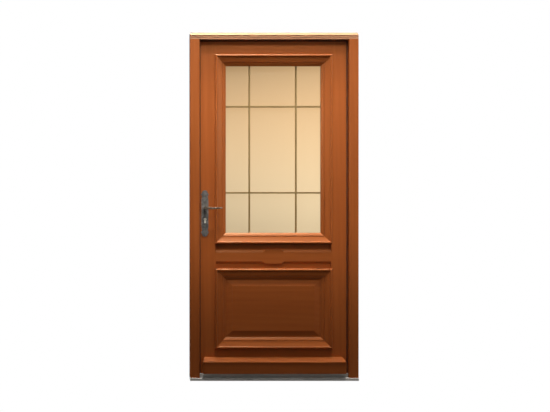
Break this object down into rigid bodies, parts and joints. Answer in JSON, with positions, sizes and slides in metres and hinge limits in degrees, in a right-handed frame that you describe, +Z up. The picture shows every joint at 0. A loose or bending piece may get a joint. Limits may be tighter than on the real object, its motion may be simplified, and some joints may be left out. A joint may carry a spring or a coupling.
{
  "type": "glazed entrance door",
  "caption": "Wooden entrance door in its frame: glazed upper light with dividing bars, raised lower panel, weatherboard and lever handle; leaf opens inwards.",
  "frame": {"origin": "centre of the underside of the threshold, midway through the depth of the frame", "axes": "+X to the right seen from outside, +Y into the building, +Z up"},
  "size_m": [1.04, 0.165, 2.155],
  "materials": {
    "frame_wood": "satin stain, honey brown",
    "leaf_wood": "satin stain, golden brown",
    "seal_rubber": "matt",
    "sill_aluminium": "mill finish, dull",
    "dark_aluminium": "dark anodised",
    "bar_bronze": "dark bronze anodised",
    "glass": "frosted, warm tint",
    "antique_iron": "antique grey",
    "cylinder_brass": "satin",
    "lock_steel": "satin"
  },
  "bodies": {
    "frame": {"jamb_lock_side": "frame_wood", "jamb_hinge_side": "frame_wood", "head": "frame_wood", "threshold": "sill_aluminium", "threshold_stop": "sill_aluminium", "seal_lock_side": "seal_rubber", "seal_hinge_side": "seal_rubber", "seal_head": "seal_rubber", "seal_threshold": "seal_rubber", "strike_plate": "lock_steel", "hinge_frame_half_low": "antique_iron", "hinge_frame_half_middle": "antique_iron", "hinge_frame_half_high": "antique_iron"},
    "leaf": {"stile_lock_side": "leaf_wood", "stile_hinge_side": "leaf_wood", "rail_top": "leaf_wood", "rail_middle": "leaf_wood", "rail_bottom": "leaf_wood", "glass_moulding_outer_top": "leaf_wood", "glass_moulding_outer_bottom": "leaf_wood", "glass_moulding_outer_left": "leaf_wood", "glass_moulding_outer_right": "leaf_wood", "glass_moulding_inner_top": "leaf_wood", "glass_moulding_inner_bottom": "leaf_wood", "glass_moulding_inner_left": "leaf_wood", "glass_moulding_inner_right": "leaf_wood", "panel_moulding_outer_top": "leaf_wood", "panel_moulding_outer_bottom": "leaf_wood", "panel_moulding_outer_left": "leaf_wood", "panel_moulding_outer_right": "leaf_wood", "panel_moulding_inner_top": "leaf_wood", "panel_moulding_inner_bottom": "leaf_wood", "panel_moulding_inner_left": "leaf_wood", "panel_moulding_inner_right": "leaf_wood", "pane_outer": "glass", "pane_inner": "glass", "glazing_spacer": "dark_aluminium", "glazing_bars": "bar_bronze", "raised_panel": "leaf_wood", "weatherboard": "leaf_wood", "handle_plate_outer": "antique_iron", "handle_plate_inner": "antique_iron", "lock_cylinder": "cylinder_brass", "lock_faceplate": "lock_steel", "latch": "lock_steel", "deadbolt": "lock_steel", "hinge_leaf_half_low": "antique_iron", "hinge_leaf_half_middle": "antique_iron", "hinge_leaf_half_high": "antique_iron"},
    "lever": {"lever_outer": "antique_iron", "lever_inner": "antique_iron", "lever_spindle": "lock_steel"}
  },
  "joints": [
    {"name": "leaf_hinge", "type": "hinge", "parent": "frame", "child": "leaf", "pos_m": [0.4735, 0.056, 0], "axis": [0, 0, -1], "range_deg": [0, 110]},
    {"name": "lever_turn", "type": "hinge", "parent": "leaf", "child": "lever", "pos_m": [-0.427, -0.018, 1.066], "axis": [0, 1, 0], "range_deg": [0, 40], "stiffness_Nm_per_rad": 1.5, "springref_deg": -34.38}
  ]
}
